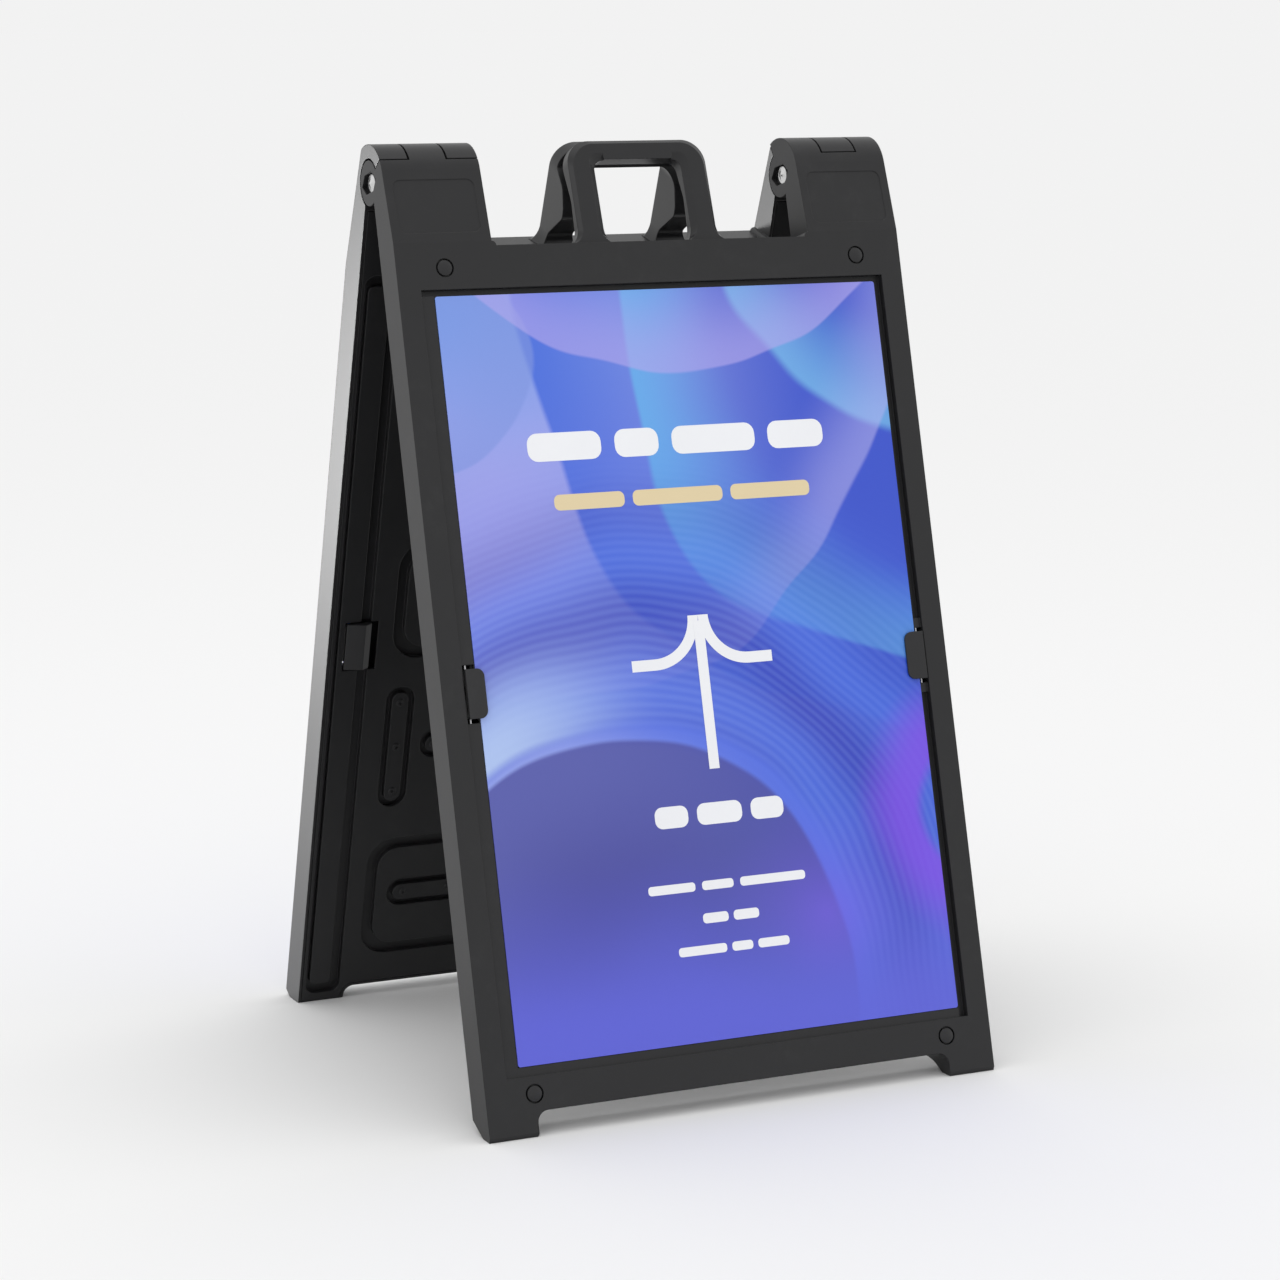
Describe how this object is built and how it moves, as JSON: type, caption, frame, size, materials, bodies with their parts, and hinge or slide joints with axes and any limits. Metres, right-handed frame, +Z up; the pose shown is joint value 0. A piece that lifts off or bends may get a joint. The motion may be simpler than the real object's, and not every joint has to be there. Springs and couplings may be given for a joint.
{
  "type": "sandwich board",
  "caption": "Folding A-frame pavement sign: hollow moulded panels hinged at the top, each with a recess and spring clips for a poster sheet and a carrying handle.",
  "frame": {"origin": "on the floor, in the middle of the open sign's footprint", "axes": "+X across the sign to the right of someone facing the front panel, -Y towards that person, +Z up"},
  "size_m": [0.6746, 0.6965, 1.1309],
  "materials": {
    "shell_black": "fine grained black polyethylene",
    "cover_black": "fine grained black polyethylene",
    "handle_black": "fine grained black polyethylene",
    "printed_sheet": "printed poster under a clear satin film",
    "clip_black": "satin black moulding",
    "plug_black": "satin black moulding",
    "bolt_steel": "zinc plated, satin",
    "plain_steel": "zinc plated",
    "spring_steel": "bright spring wire"
  },
  "bodies": {
    "front_panel": {"front_face_shell": "shell_black", "front_back_cover": "cover_black", "front_handle": "handle_black", "front_sign_sheet": "printed_sheet", "front_clip_pins": "plain_steel", "front_clip_springs": "spring_steel", "front_corner_plugs": "plug_black", "front_shell_screws": "plain_steel", "left_hinge_bolt": "bolt_steel", "left_hinge_nut": "plain_steel", "left_hinge_washer": "plain_steel", "right_hinge_bolt": "bolt_steel", "right_hinge_nut": "plain_steel", "right_hinge_washer": "plain_steel"},
    "rear_panel": {"rear_face_shell": "shell_black", "rear_back_cover": "cover_black", "rear_handle": "handle_black", "rear_sign_sheet": "printed_sheet", "rear_clip_pins": "plain_steel", "rear_clip_springs": "spring_steel", "rear_corner_plugs": "plug_black", "rear_shell_screws": "plain_steel"},
    "front_left_clip": {"front_left_clip": "clip_black"},
    "front_right_clip": {"front_right_clip": "clip_black"},
    "rear_left_clip": {"rear_left_clip": "clip_black"},
    "rear_right_clip": {"rear_right_clip": "clip_black"}
  },
  "joints": [
    {"name": "fold", "type": "hinge", "parent": "front_panel", "child": "rear_panel", "pos_m": [0, 0, 1.0845], "axis": [-1, 0, 0], "range_deg": [0, 30]},
    {"name": "front_left_clip_open", "type": "hinge", "parent": "front_panel", "child": "front_left_clip", "pos_m": [-0.3023, -0.2079, 0.49986], "axis": [0, -0.2588, -0.9659], "range_deg": [0, 10], "stiffness_Nm_per_rad": 0.6, "springref_deg": -5.73},
    {"name": "front_right_clip_open", "type": "hinge", "parent": "front_panel", "child": "front_right_clip", "pos_m": [0.3023, -0.2079, 0.49986], "axis": [0, 0.2588, 0.9659], "range_deg": [0, 10], "stiffness_Nm_per_rad": 0.6, "springref_deg": -5.73},
    {"name": "rear_left_clip_open", "type": "hinge", "parent": "rear_panel", "child": "rear_left_clip", "pos_m": [0.3023, 0.20652, 0.49923], "axis": [0, 0.263, -0.9648], "range_deg": [0, 10], "stiffness_Nm_per_rad": 0.6, "springref_deg": -5.73},
    {"name": "rear_right_clip_open", "type": "hinge", "parent": "rear_panel", "child": "rear_right_clip", "pos_m": [-0.3023, 0.20652, 0.49923], "axis": [0, -0.263, 0.9648], "range_deg": [0, 10], "stiffness_Nm_per_rad": 0.6, "springref_deg": -5.73}
  ]
}
